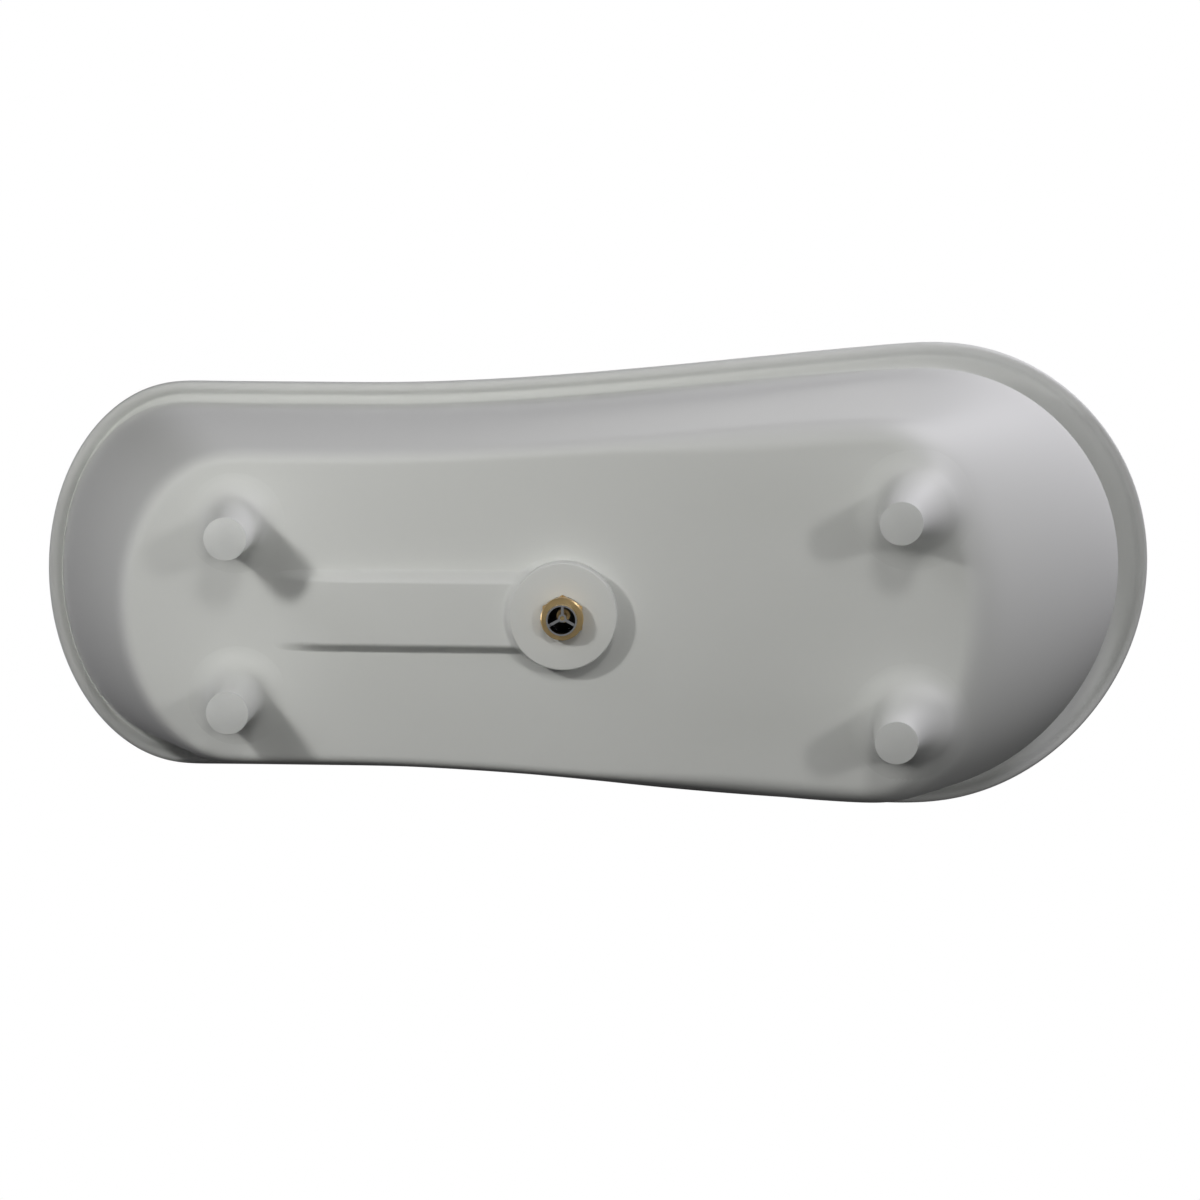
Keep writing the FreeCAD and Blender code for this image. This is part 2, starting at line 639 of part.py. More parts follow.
PARTS = {
    "bath_body": bath_body,
    "drain_boss": drain_boss,
    "overflow_channel_cover": overflow_channel_cover,
    "waste_body": waste_body,
    "flange_gasket": flange_gasket,
    "under_washer": under_washer,
    "slip_washer": slip_washer,
    "lock_nut": lock_nut,
    "coupling_nut": coupling_nut,
    "tailpiece": tailpiece,
    "tail_seal": tail_seal,
    "cartridge_barrel": cartridge_barrel,
    "guide_bush": guide_bush,
    "plunger": plunger,
    "latch_cam": latch_cam,
    "click_spring": click_spring,
    "stopper_cap": stopper_cap,
    "stopper_seal": stopper_seal,
}
SIDES = {"left": 1, "right": -1}

os.makedirs("parts", exist_ok=True)
shapes = {name: make() for name, make in PARTS.items()}
for end in LEGS:
    for side_name, side in SIDES.items():
        shapes[f"{end}_end_{side_name}_pad"] = foot_pad(end, side)
for name, shape in shapes.items():
    shape.exportStep(f"parts/{name}.step")
    print(f"{name:24} valid {shape.isValid()} solids {len(shape.Solids)} volume {shape.Volume / 1000:.2f} cm3")
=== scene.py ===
"""Looks of the single-slipper bath: smooth casting, moulded legs, overflow channel, drain boss and waste.

Metres in Blender, with the outlines worked out in millimetres as in the CAD source. +Z is up, the bath
stands on Z = 0 with its raised head end towards +X, and the camera is under it, looking up.
"""

import math

import bpy
from mathutils import Matrix, Vector
from mathutils.bvhtree import BVHTree


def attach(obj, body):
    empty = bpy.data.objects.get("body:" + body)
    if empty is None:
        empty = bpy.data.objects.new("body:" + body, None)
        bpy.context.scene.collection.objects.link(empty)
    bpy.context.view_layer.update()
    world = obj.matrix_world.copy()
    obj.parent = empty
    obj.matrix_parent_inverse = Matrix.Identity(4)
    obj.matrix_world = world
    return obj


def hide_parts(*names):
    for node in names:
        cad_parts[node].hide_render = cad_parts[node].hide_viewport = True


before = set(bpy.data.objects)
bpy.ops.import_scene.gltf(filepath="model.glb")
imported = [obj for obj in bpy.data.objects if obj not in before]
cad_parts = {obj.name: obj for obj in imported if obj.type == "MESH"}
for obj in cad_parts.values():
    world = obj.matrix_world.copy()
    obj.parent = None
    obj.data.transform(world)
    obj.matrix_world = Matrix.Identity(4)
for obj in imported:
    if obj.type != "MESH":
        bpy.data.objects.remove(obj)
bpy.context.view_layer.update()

MM = 0.001

# ---------------------------------------------------------------- bath, millimetres
LENGTH = 1700.0
FOOT_RIM_Z = 582.4
HEAD_RIM_Z = 800.0
RISE_START_X = 59.7
RISE_POWER = 1.515
FOOT_HALF_WIDTH = 292.4
HEAD_HALF_WIDTH = 364.4
WIDEN_FROM_X = -368.3
WIDEN_TO_X = 695.6
RIM_FOOT_END = 214.0
RIM_HEAD_END = 386.0
BASE_FOOT_X = -648.0
BASE_HEAD_X = 519.0
BASE_END = 158.0
BASE_FOOT_HALF_WIDTH = 214.0
BASE_HEAD_HALF_WIDTH = 274.0
POINTS_AROUND = 64
BASE_Z = 162.0
FLOOR_Z = 190.0
DRAIN_FLOOR_Z = 184.0
WALL = 25.0
SLOPED_WALL_EXTRA = 9.0
RIM_OVERHANG = 34.0
FOOT_OVERHANG = 22.0
FOOT_OVERHANG_X = (-850.0, -600.0)
HEAD_OVERHANG = 44.0
HEAD_OVERHANG_X = (400.0, 850.0)
LIP_THICKNESS = 18.0
RIM_WIDTH = 58.0
RIM_DEPTH = 33.0
BASE_STEPS = (64.0, 48.0, 34.0, 20.0, 7.0)
HEAD_BASE_STEPS = (70.0, 58.0, 46.0, 34.0, 15.0)
HEAD_SOFTNESS_X = (50.0, 420.0)
WALL_SHARES = (0.05, 0.14, 0.32, 0.55, 0.78, 0.94)
HEAD_FULLNESS = 0.45
HEAD_UNDERCUT = 12.0
HEAD_FULLNESS_X = (150.0, 750.0)
INSIDE_SHARES = (0.78, 0.55, 0.32, 0.13)
INSIDE_TOP_DROP = 60.0
FLOOR_CORNER_STEP = 35.0
FLOOR_EDGE_STEP = 81.0
DRAIN_RINGS = (100.0, 70.0, 45.0)
HOLE_RADIUS = 26.0
RECESS_RADIUS = 37.5
RECESS_Z = 179.5
OVERFLOW_SLOT = {"low": (-776.0, -30.0, 451.0), "high": (-726.0, 30.0, 460.0)}
UNDER_DRAIN_RINGS = (32.0, 60.0, 100.0)
WALL_TOP_DROP = RIM_DEPTH - 8
GUTTER_WIDTH = 12.0
# how far out from the wall each ring of the gutter is, and how far below the rim's top
GUTTER_RINGS = (
    (0.0, WALL_TOP_DROP),
    (2.0, RIM_DEPTH - 12),
    (GUTTER_WIDTH, RIM_DEPTH - 15),
)
# how far in from the rim's edge each ring of the rolled rim is, and how far below its top
RIM_PROFILE = (
    (LIP_THICKNESS, RIM_DEPTH - 12),
    (14.0, RIM_DEPTH - 3),
    (8.0, RIM_DEPTH),
    (1.0, RIM_DEPTH - 1),
    (-1.0, RIM_DEPTH / 2),
    (2.5, 3.0),
    (14.0, -0.6),
    (30.0, -0.2),
    (RIM_WIDTH - 14, 1.5),
    (RIM_WIDTH - 3, 8.0),
    (RIM_WIDTH + 2, 26.0),
)
SMOOTHING_LEVELS = 3

# ---------------------------------------------------------------- legs, channel and boss, millimetres
PAD_THICKNESS = 3.0
PAD_RADIUS = 27.8
LEG_TIP_RADIUS = 27.8
LEG_SPREAD_POWER = 1.6
LEG_FLARE = 22.0
LEG_FLARE_POWER = 8
LEG_BLEND_FROM = 0.84
LEG_POINTS_AROUND = 64
LEG_TIP_EASING = 1.4
LEG_REACH = 12.0
LEG_CAP_RISE = 8.0
LEG_OVERLAP = 0.3
# shares of a leg's height that have a ring
LEG_STATIONS = (0.0, 0.012, 0.06, 0.14, 0.24, 0.34, 0.44, 0.54, 0.63, 0.71, 0.78, LEG_BLEND_FROM)
# how far each ring of the run-out spreads, and its share of the way up to the underside
LEG_RUN_OUT = ((4.0, 0.36), (9.0, 0.64), (15.0, 0.83), (22.0, 0.94), (30.0, 0.99), (38.0, 1.01))
PAD_EASING = 0.7
PAD_EASING_MIDDLE = 0.2
PAD_AXIS_GAP = 0.02
LEGS = {
    "foot": {"tip": (-472.0, 113.0), "root": (-494.0, 119.0), "wider": 8.0},
    "head": {"tip": (390.0, 141.0), "root": (432.0, 144.5), "wider": 26.0},
}
DRAIN_X = -45.0
BOSS_RADIUS = 72.2
BOSS_FACE_Z = 126.0
CHANNEL_HALF_WIDTH = 57.5
CHANNEL_DEPTH = 22.0
CHANNEL_EDGE = 16.0
CHANNEL_END_X = -446.0
CHANNEL_RAMP = 95.0
COLLAR_RADIUS = 81.2
COLLAR_RISE = 9.0
COLLAR_FADE = (0.25, 0.75)
CHANNEL_LIFT = 0.4
CHANNEL_END_MARGIN = 10.0
CHANNEL_SIDE_MARGIN = 23.0
CHANNEL_COARSE_STEP = 9.0
CHANNEL_COARSE_COUNT = 36
CHANNEL_FINE_STEP = 2.0
CHANNEL_STOP_BEFORE_DRAIN = 20.0
SLAB_OVERLAP = 6.0
BOSS_EDGE = 2.2
BOSS_WELL_RADIUS = 54.0
BOSS_FACE_THICKNESS = 5.0
HOLE_EASING = 1.0

# ---------------------------------------------------------------- light, metres and watts
SURROUND = {"color": (0.96, 0.95, 1.0), "strength": 0.015, "mirrored": 0.2}
WARM = (1.0, 1.0, 0.97)
COOL = (0.96, 0.94, 1.0)
MIDDLE = (0.0, 0.0, 0.3)


def clamp(value):
    """Value kept between 0 and 1."""
    return min(max(value, 0.0), 1.0)


def smooth(value, low, high):
    """Rise smoothly from 0 at low to 1 at high."""
    u = clamp((value - low) / (high - low))
    return u * u * (3 - 2 * u)


def outline(foot_x, head_x, foot_end, head_end, foot_half, head_half):
    """Points round a plan outline with elliptical ends."""
    points = []
    for i in range(POINTS_AROUND):
        angle = 2 * math.pi * i / POINTS_AROUND
        x = (foot_x + head_x) / 2 - (head_x - foot_x) / 2 * math.cos(angle)
        foot_q = clamp((foot_x + foot_end - x) / foot_end)
        head_q = clamp((x - head_x + head_end) / head_end)
        rounding = math.sqrt(1 - foot_q ** 2) * math.sqrt(1 - head_q ** 2)
        widening = smooth(x, WIDEN_FROM_X, WIDEN_TO_X)
        half = (foot_half + (head_half - foot_half) * widening) * rounding
        points.append((x, -half if math.sin(angle) > 0 else half))
    return points


def inset(points, distance):
    """Move each point of a plan outline inwards; distance is a number or one number for each point."""
    moved = []
    for i, (x, y) in enumerate(points):
        before = points[i - 1]
        after = points[(i + 1) % len(points)]
        dx, dy = after[0] - before[0], after[1] - before[1]
        length = math.hypot(dx, dy)
        step = distance[i] if isinstance(distance, list) else distance
        moved.append((x - dy / length * step, y + dx / length * step))
    return moved


def between(inner, outer, shares):
    """A plan outline part of the way from one to another, with a share for each point."""
    return [(a[0] + (b[0] - a[0]) * s, a[1] + (b[1] - a[1]) * s) for a, b, s in zip(inner, outer, shares)]


def rim_height(x):
    """Height of the rim's top, level at the foot end and sweeping up to the head end."""
    u = clamp((x - RISE_START_X) / (LENGTH / 2 - RISE_START_X))
    return FOOT_RIM_Z + (HEAD_RIM_Z - FOOT_RIM_Z) * u ** RISE_POWER


def overhang(x):
    """How far the rim stands out from the wall, least at the foot end and most at the head end."""
    foot = (RIM_OVERHANG - FOOT_OVERHANG) * smooth(x, *FOOT_OVERHANG_X)
    head = (HEAD_OVERHANG - RIM_OVERHANG) * smooth(x, *HEAD_OVERHANG_X)
    return FOOT_OVERHANG + foot + head


def base_step(k):
    """Distances in from the base's edge, longer towards the head end, where the corner is softer."""
    longer = HEAD_BASE_STEPS[k] - BASE_STEPS[k]
    return [BASE_STEPS[k] + longer * smooth(x, *HEAD_SOFTNESS_X) for x, y in RIM]


def full_shares(share):
    """How far out the wall is at a share of its height, for a wall that is fuller at the head end."""
    return [1 - (1 - share) ** (1 + HEAD_FULLNESS * smooth(x, *HEAD_FULLNESS_X)) for x, y in RIM]


RIM = outline(-LENGTH / 2, LENGTH / 2, RIM_FOOT_END, RIM_HEAD_END, FOOT_HALF_WIDTH, HEAD_HALF_WIDTH)
RIM_Z = [rim_height(x) for x, y in RIM]
OVERHANG = [overhang(x) for x, y in RIM]
GROOVE_ROOM = [min((out - LIP_THICKNESS) / (RIM_OVERHANG - LIP_THICKNESS), 1.0) for out in OVERHANG]
WALL_TOP = inset(RIM, OVERHANG)
BASE_HALF_WIDTHS = (BASE_FOOT_HALF_WIDTH, BASE_HEAD_HALF_WIDTH)
BASE = outline(BASE_FOOT_X, BASE_HEAD_X, BASE_END, BASE_END, *BASE_HALF_WIDTHS)


def level(plan, z):
    """A ring of points at one height."""
    return [Vector((x, y, z)) for x, y in plan]


def under_rim(step_in, drop):
    """A ring that follows the rim, moved in from its edge and down from its top."""
    return [Vector((x, y, z - drop)) for (x, y), z in zip(inset(RIM, step_in), RIM_Z)]


def gutter_steps(step_out):
    """Distances in from the rim's edge to a ring of the gutter that is a step out from the wall."""
    left = 1 - step_out / GUTTER_WIDTH
    undercut = [HEAD_UNDERCUT * smooth(x, *HEAD_FULLNESS_X) * left for x, y in RIM]
    return [out - step_out * room + cut for out, room, cut in zip(OVERHANG, GROOVE_ROOM, undercut)]


def wall_ring(share, thickness, top_drop, bottom_z):
    """A ring on the wall, share of the way up, on the outside or a thickness further in."""
    sloped = SLOPED_WALL_EXTRA if thickness else 0.0
    extra = [thickness + sloped * smooth(x, 0, LENGTH / 2) for x, y in RIM]
    plan = inset(between(BASE, WALL_TOP, full_shares(share)), extra)
    heights = [bottom_z + (rim_z - top_drop - bottom_z) * share for rim_z in RIM_Z]
    return [Vector((x, y, z)) for (x, y), z in zip(plan, heights)]


def round_ring(radius, z):
    """A ring round the drain."""
    angles = [2 * math.pi * i / POINTS_AROUND for i in range(POINTS_AROUND)]
    return [Vector((DRAIN_X - radius * math.cos(a), -radius * math.sin(a), z)) for a in angles]


def mixed(ring_a, ring_b, share):
    """A ring between two others."""
    return [a.lerp(b, share) for a, b in zip(ring_a, ring_b)]


def sharpened(ring):
    """Control points moved outwards so that the smooth surface passes close to the given points."""
    count = len(ring)
    return [ring[i] - (ring[i - 1] + ring[(i + 1) % count] - ring[i] * 2) / 6 for i in range(count)]


def bath_rings():
    """Every ring of the casting and how sharp it is, from the drain hole round the outside and back in."""
    rings = [(round_ring(HOLE_RADIUS, BASE_Z), 1.0)]
    for radius in UNDER_DRAIN_RINGS:
        rings.append((round_ring(radius, BASE_Z), 0.0))
    base_edge = level(inset(BASE, base_step(0)), BASE_Z)
    rings.append((mixed(round_ring(UNDER_DRAIN_RINGS[-1], BASE_Z), base_edge, 0.5), 0.0))
    for k in range(len(BASE_STEPS)):
        rings.append((level(inset(BASE, base_step(k)), BASE_Z), 0.0))
    for share in WALL_SHARES:
        rings.append((wall_ring(share, 0.0, WALL_TOP_DROP, BASE_Z), 0.0))
    for step_out, drop in GUTTER_RINGS:
        rings.append((under_rim(gutter_steps(step_out), drop), 0.0))
    for step_in, drop in RIM_PROFILE:
        rings.append((under_rim(step_in, drop), 0.0))
    for share in INSIDE_SHARES:
        rings.append((wall_ring(share, WALL, INSIDE_TOP_DROP, FLOOR_Z), 0.0))
    rings.append((level(inset(BASE, FLOOR_CORNER_STEP), FLOOR_Z), 0.0))
    floor_edge = level(inset(BASE, FLOOR_EDGE_STEP), FLOOR_Z)
    drain_edge = round_ring(DRAIN_RINGS[0], DRAIN_FLOOR_Z)
    rings.append((floor_edge, 0.0))
    rings.append((mixed(floor_edge, drain_edge, 0.5), 0.0))
    for radius in DRAIN_RINGS:
        rings.append((round_ring(radius, DRAIN_FLOOR_Z), 0.0))
    rings.append((round_ring(RECESS_RADIUS, DRAIN_FLOOR_Z), 1.0))
    rings.append((round_ring(RECESS_RADIUS, RECESS_Z), 1.0))
    rings.append((round_ring(HOLE_RADIUS, RECESS_Z), 1.0))
    return rings


# ---------------------------------------------------------------- mesh helpers


def new_piece(name, points, faces, body="bath"):
    """A smooth mesh piece from points in millimetres, riding on a CAD body."""
    mesh = bpy.data.meshes.new(name)
    mesh.from_pydata([tuple(p * MM for p in point) for point in points], [], faces)
    mesh.update()
    for polygon in mesh.polygons:
        polygon.use_smooth = True
    piece = bpy.data.objects.new(name, mesh)
    bpy.context.scene.collection.objects.link(piece)
    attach(piece, body)
    return piece


def band_faces(rings, around, closed):
    """Quads between neighbouring rings of points; closed joins the last ring to the first."""
    faces = []
    for j in range(rings if closed else rings - 1):
        a, b = j * around, (j + 1) % rings * around
        for i in range(around):
            k = (i + 1) % around
            faces.append((a + i, b + i, b + k, a + k))
    return faces


def crease_rings(piece, sharp, around):
    """Give the edges that run along sharp rings a full crease."""
    layer = piece.data.attributes.new("crease_edge", "FLOAT", "EDGE")
    for edge in piece.data.edges:
        a, b = edge.vertices
        if a // around == b // around and sharp[a // around]:
            layer.data[edge.index].value = sharp[a // around]


def subdivided(piece, levels):
    """Smooth the piece with subdivision."""
    modifier = piece.modifiers.new("smooth", "SUBSURF")
    modifier.levels = levels
    modifier.render_levels = levels


def lathe(name, profile, axis, segments, body="bath"):
    """A piece turned about an upright axis from a closed loop of (radius, height), outside wall first."""
    points = []
    for radius, z in profile:
        for i in range(segments):
            angle = 2 * math.pi * i / segments
            points.append((axis[0] + radius * math.cos(angle), axis[1] + radius * math.sin(angle), z))
    return new_piece(name, points, band_faces(len(profile), segments, True), body)


def arc(centre, radius, start, end, steps):
    """Points (radius, height) along an arc in the turning plane, angles in degrees."""
    points = []
    for i in range(steps):
        angle = math.radians(start + (end - start) * i / (steps - 1))
        points.append((centre[0] + radius * math.cos(angle), centre[1] + radius * math.sin(angle)))
    return points


def sharp_by_angle(piece, degrees=35):
    """Shade smoothly except across edges sharper than the angle."""
    limit = math.radians(degrees)
    mesh = piece.data
    mesh.update()
    normals = {}
    for polygon in mesh.polygons:
        for key in polygon.edge_keys:
            normals.setdefault(key, []).append(polygon.normal.copy())
    for edge in mesh.edges:
        sides = normals.get(edge.key, [])
        edge.use_edge_sharp = len(sides) == 2 and sides[0].angle(sides[1], 0.0) > limit


# ---------------------------------------------------------------- materials


def material(
    name, color, roughness, metallic=0.0, mottle=0.03, mottle_scale=6.0, bump_mm=0.02, bump_scale=600.0
):
    """A procedural finish: slight colour drift, uneven gloss and a fine relief, in the object's own space."""
    made = bpy.data.materials.new(name)
    made.use_nodes = True
    nodes, links = made.node_tree.nodes, made.node_tree.links
    shader = nodes["Principled BSDF"]
    shader.inputs["Metallic"].default_value = metallic
    place = nodes.new("ShaderNodeTexCoord")
    broad = nodes.new("ShaderNodeTexNoise")
    broad.inputs["Scale"].default_value = mottle_scale
    broad.inputs["Detail"].default_value = 4.0
    links.new(place.outputs["Object"], broad.inputs["Vector"])
    tint = nodes.new("ShaderNodeMix")
    tint.data_type = "RGBA"
    tint.inputs["A"].default_value = (*[c * (1 - mottle) for c in color], 1.0)
    tint.inputs["B"].default_value = (*[min(c * (1 + mottle), 1.0) for c in color], 1.0)
    links.new(broad.outputs["Fac"], tint.inputs["Factor"])
    links.new(tint.outputs["Result"], shader.inputs["Base Color"])
    gloss = nodes.new("ShaderNodeMapRange")
    gloss.inputs["To Min"].default_value = roughness * 0.88
    gloss.inputs["To Max"].default_value = roughness * 1.12
    links.new(broad.outputs["Fac"], gloss.inputs["Value"])
    links.new(gloss.outputs["Result"], shader.inputs["Roughness"])
    fine = nodes.new("ShaderNodeTexNoise")
    fine.inputs["Scale"].default_value = bump_scale
    fine.inputs["Detail"].default_value = 2.0
    links.new(place.outputs["Object"], fine.inputs["Vector"])
    relief = nodes.new("ShaderNodeBump")
    relief.inputs["Strength"].default_value = 0.5
    relief.inputs["Distance"].default_value = bump_mm * MM
    links.new(fine.outputs["Fac"], relief.inputs["Height"])
    links.new(relief.outputs["Normal"], shader.inputs["Normal"])
    return made


CAST_STONE = material("cast_stone", (0.80, 0.81, 0.79), 0.60, mottle=0.012, mottle_scale=3.0, bump_scale=260.0)
PAD = material("pad", (0.72, 0.73, 0.72), 0.65, mottle=0.02, mottle_scale=40.0)
CHROME = material("chrome", (0.80, 0.81, 0.83), 0.08, 1.0, mottle=0.02, mottle_scale=60.0, bump_mm=0.002)
BRASS = material("brass", (0.76, 0.55, 0.27), 0.32, 1.0, mottle=0.10, mottle_scale=90.0, bump_scale=1500.0)
RUBBER = material("rubber", (0.05, 0.05, 0.05), 0.70, mottle=0.15, mottle_scale=80.0)
NYLON = material("nylon", (0.85, 0.84, 0.80), 0.50, mottle=0.03, mottle_scale=60.0)
SPRING_STEEL = material("spring_steel", (0.60, 0.60, 0.62), 0.25, 1.0, mottle=0.05, mottle_scale=200.0)


def finish_with(piece, made):
    """Give a piece its material."""
    piece.data.materials.clear()
    piece.data.materials.append(made)
    return piece


# ---------------------------------------------------------------- pieces of the casting


def bath_casting():
    """The wall, rim, floor and underside as one closed smooth skin, with the overflow slot cut in."""
    rings = bath_rings()
    points = [point for ring, sharp in rings for point in sharpened(ring)]
    casting = new_piece("bath_casting", points, band_faces(len(rings), POINTS_AROUND, True))
    crease_rings(casting, [sharp for ring, sharp in rings], POINTS_AROUND)
    subdivided(casting, SMOOTHING_LEVELS)
    cut_slot(casting)
    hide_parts("bath_body")
    return finish_with(casting, CAST_STONE)


def cut_slot(casting):
    """Cut the overflow's slot into the inside of the foot end's wall."""
    low, high = OVERFLOW_SLOT["low"], OVERFLOW_SLOT["high"]
    corners = [(x, y, z) for x in (low[0], high[0]) for y in (low[1], high[1]) for z in (low[2], high[2])]
    sides = [(0, 1, 3, 2), (4, 6, 7, 5), (0, 4, 5, 1), (2, 3, 7, 6), (0, 2, 6, 4), (1, 5, 7, 3)]
    mesh = bpy.data.meshes.new("slot_cutter")
    mesh.from_pydata([tuple(c * MM for c in corner) for corner in corners], [], sides)
    cutter = bpy.data.objects.new("slot_cutter", mesh)
    bpy.context.scene.collection.objects.link(cutter)
    modifier = casting.modifiers.new("overflow_slot", "BOOLEAN")
    modifier.operation = "DIFFERENCE"
    modifier.solver = "EXACT"
    modifier.object = cutter
    depsgraph = bpy.context.evaluated_depsgraph_get()
    cut = bpy.data.meshes.new_from_object(casting.evaluated_get(depsgraph))
    casting.modifiers.clear()
    casting.data = cut
    bpy.data.objects.remove(cutter)


def underside_of(piece):
    """A function giving the height of a piece's lowest surface over a point, in millimetres."""
    tree = BVHTree.FromObject(piece, bpy.context.evaluated_depsgraph_get())

    def height(x, y):
        hit = tree.ray_cast(Vector((x * MM, y * MM, 0.0)), Vector((0, 0, 1)))[0]
        return hit.z / MM if hit is not None else BASE_Z

    return height


def moulded_leg(end, side, underside):
    """A leg that spreads upwards and runs out smoothly into the underside."""
    sizes = LEGS[end]
    around = LEG_POINTS_AROUND
    tip = Vector(sizes["tip"])
    root = Vector(sizes["root"])
    rings = []
    for share in LEG_STATIONS:
        drift = share ** LEG_SPREAD_POWER
        radius = LEG_TIP_RADIUS + sizes["wider"] * drift + LEG_FLARE * share ** LEG_FLARE_POWER
        if share == 0.0:
            radius -= LEG_TIP_EASING
        height = PAD_THICKNESS + (BASE_Z + LEG_REACH - PAD_THICKNESS) * share
        rings.append((drift, radius, height, None))
    last_radius, last_height = rings[-1][1], rings[-1][2]
    for spread, rise in LEG_RUN_OUT:
        rings.append((LEG_BLEND_FROM ** LEG_SPREAD_POWER, last_radius + spread, last_height, rise))
    points = []
    for drift, radius, height, rise in rings:
        for i in range(around):
            angle = 2 * math.pi * i / around
            x = tip.x + (root.x - tip.x) * drift + radius * math.cos(angle)
            y = tip.y + (root.y - tip.y) * drift + radius * math.sin(angle)
            z = height
            if rise is not None:
                z = height + (underside(x, y) + LEG_OVERLAP - height) * rise
            points.append((x, side * y, z))
    for k, centre_z in ((0, PAD_THICKNESS), (len(rings) - 1, BASE_Z + LEG_CAP_RISE)):
        first = k * around
        ring = points[first:first + around]
        middle = (sum(p[0] for p in ring) / around, sum(p[1] for p in ring) / around, centre_z)
        points.append(middle)
    faces = band_faces(len(rings), around, False)
    bottom, top = len(rings) * around, len(rings) * around + 1
    last = (len(rings) - 1) * around
    for i in range(around):
        k = (i + 1) % around
        faces.append((bottom, i, k))
        faces.append((top, last + k, last + i))
    if side > 0:
        faces = [tuple(reversed(face)) for face in faces]
    leg = new_piece(f"{end}_end_{'left' if side > 0 else 'right'}_leg", points, faces)
    sharp_by_angle(leg, 50)
    return finish_with(leg, CAST_STONE)


def foot_pad(end, side, side_name):
    """A round pad under a leg, its lower edge just eased."""
    x, y = LEGS[end]["tip"]
    profile = [(PAD_RADIUS, PAD_THICKNESS), (PAD_RADIUS, PAD_EASING)]
    profile += [(PAD_RADIUS - PAD_EASING_MIDDLE, PAD_EASING_MIDDLE), (PAD_RADIUS - PAD_EASING, 0.0)]
    profile += [(PAD_AXIS_GAP, 0.0), (PAD_AXIS_GAP, PAD_THICKNESS)]
    pad = lathe(f"{end}_{side_name}_foot_pad", profile, (x, side * y), 72)
    sharp_by_angle(pad)
    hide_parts(f"{end}_end_{side_name}_pad")
    return finish_with(pad, PAD)


def channel_depth(x, y):
    """How far the overflow channel and its collar stand below the underside."""
    across = smooth(CHANNEL_HALF_WIDTH - abs(y), 0.0, CHANNEL_EDGE)
    along = smooth(x, CHANNEL_END_X, CHANNEL_END_X + CHANNEL_RAMP)
    from_drain = math.hypot(x - DRAIN_X, y)
    towards_foot = clamp((DRAIN_X - x) / max(from_drain, 1.0))
    collar = COLLAR_RISE * smooth(COLLAR_RADIUS - from_drain, 0.0, COLLAR_RADIUS - BOSS_RADIUS)
    return CHANNEL_DEPTH * across * along + collar * smooth(towards_foot, *COLLAR_FADE)


def overflow_channel():
    """The soft-edged trough under the base, closed at the top inside the slab."""
    first_x = CHANNEL_END_X - CHANNEL_END_MARGIN
    xs = [first_x + CHANNEL_COARSE_STEP * i for i in range(CHANNEL_COARSE_COUNT)]
    while xs[-1] < DRAIN_X - CHANNEL_STOP_BEFORE_DRAIN:
        xs.append(xs[-1] + CHANNEL_FINE_STEP)
    half = CHANNEL_HALF_WIDTH + CHANNEL_SIDE_MARGIN
    ys = [-half + CHANNEL_FINE_STEP * i for i in range(int(half) + 1)]
    columns, rows = len(xs), len(ys)
    points = [(x, y, BASE_Z + CHANNEL_LIFT - channel_depth(x, y)) for x in xs for y in ys]
    points += [(x, y, BASE_Z + SLAB_OVERLAP) for x in xs for y in ys]
    top = columns * rows
    faces = []
    for c in range(columns - 1):
        for r in range(rows - 1):
            a = c * rows + r
            faces.append((a, a + 1, a + rows + 1, a + rows))
            faces.append((top + a, top + a + rows, top + a + rows + 1, top + a + 1))
    for c in range(columns - 1):
        a, b = c * rows, c * rows + rows - 1
        faces.append((a, a + rows, top + a + rows, top + a))
        faces.append((b + rows, b, top + b, top + b + rows))
    for r in range(rows - 1):
        a, b = r, (columns - 1) * rows + r
        faces.append((a + 1, a, top + a, top + a + 1))
        faces.append((b, b + 1, top + b + 1, top + b))
    channel = new_piece("overflow_channel", points, faces)
    sharp_by_angle(channel, 60)
    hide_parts("overflow_channel_cover")
    return finish_with(channel, CAST_STONE)


def boss():
    """The round housing under the drain, with an eased edge, open inside round the waste."""
    top_z = BASE_Z + SLAB_OVERLAP
    well_z = BOSS_FACE_Z + BOSS_FACE_THICKNESS
    profile = [(BOSS_RADIUS, top_z)]
    profile += arc((BOSS_RADIUS - BOSS_EDGE, BOSS_FACE_Z + BOSS_EDGE), BOSS_EDGE, 0, -90, 6)
    profile += [(HOLE_RADIUS + HOLE_EASING, BOSS_FACE_Z), (HOLE_RADIUS, BOSS_FACE_Z + HOLE_EASING)]
    profile += [(HOLE_RADIUS, well_z), (BOSS_WELL_RADIUS, well_z), (BOSS_WELL_RADIUS, top_z)]
    piece = lathe("drain_housing", profile, (DRAIN_X, 0.0), 128)
    sharp_by_angle(piece)
    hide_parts("drain_boss")
    return finish_with(piece, CAST_STONE)


# ---------------------------------------------------------------- waste

CAD_FINISH = {
    "waste_body": (CHROME, "chrome"),
    "flange_gasket": (RUBBER, "rubber"),
    "under_washer": (RUBBER, "rubber"),
    "slip_washer": (NYLON, "nylon"),
    "lock_nut": (BRASS, "brass"),
    "coupling_nut": (BRASS, "brass"),
    "tailpiece": (CHROME, "chrome"),
    "tail_seal": (RUBBER, "rubber"),
    "cartridge_barrel": (BRASS, "brass"),
    "guide_bush": (BRASS, "brass"),
    "plunger": (BRASS, "brass"),
    "latch_cam": (NYLON, "nylon"),
    "click_spring": (SPRING_STEEL, "spring_steel"),
    "stopper_cap": (CHROME, "chrome"),
    "stopper_seal": (RUBBER, "rubber"),
}


def finish_cad_nodes():
    """Give every CAD node that is shown its material."""
    for node, (made, slot) in CAD_FINISH.items():
        finish_with(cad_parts[node], made)


# ---------------------------------------------------------------- stage, light and camera


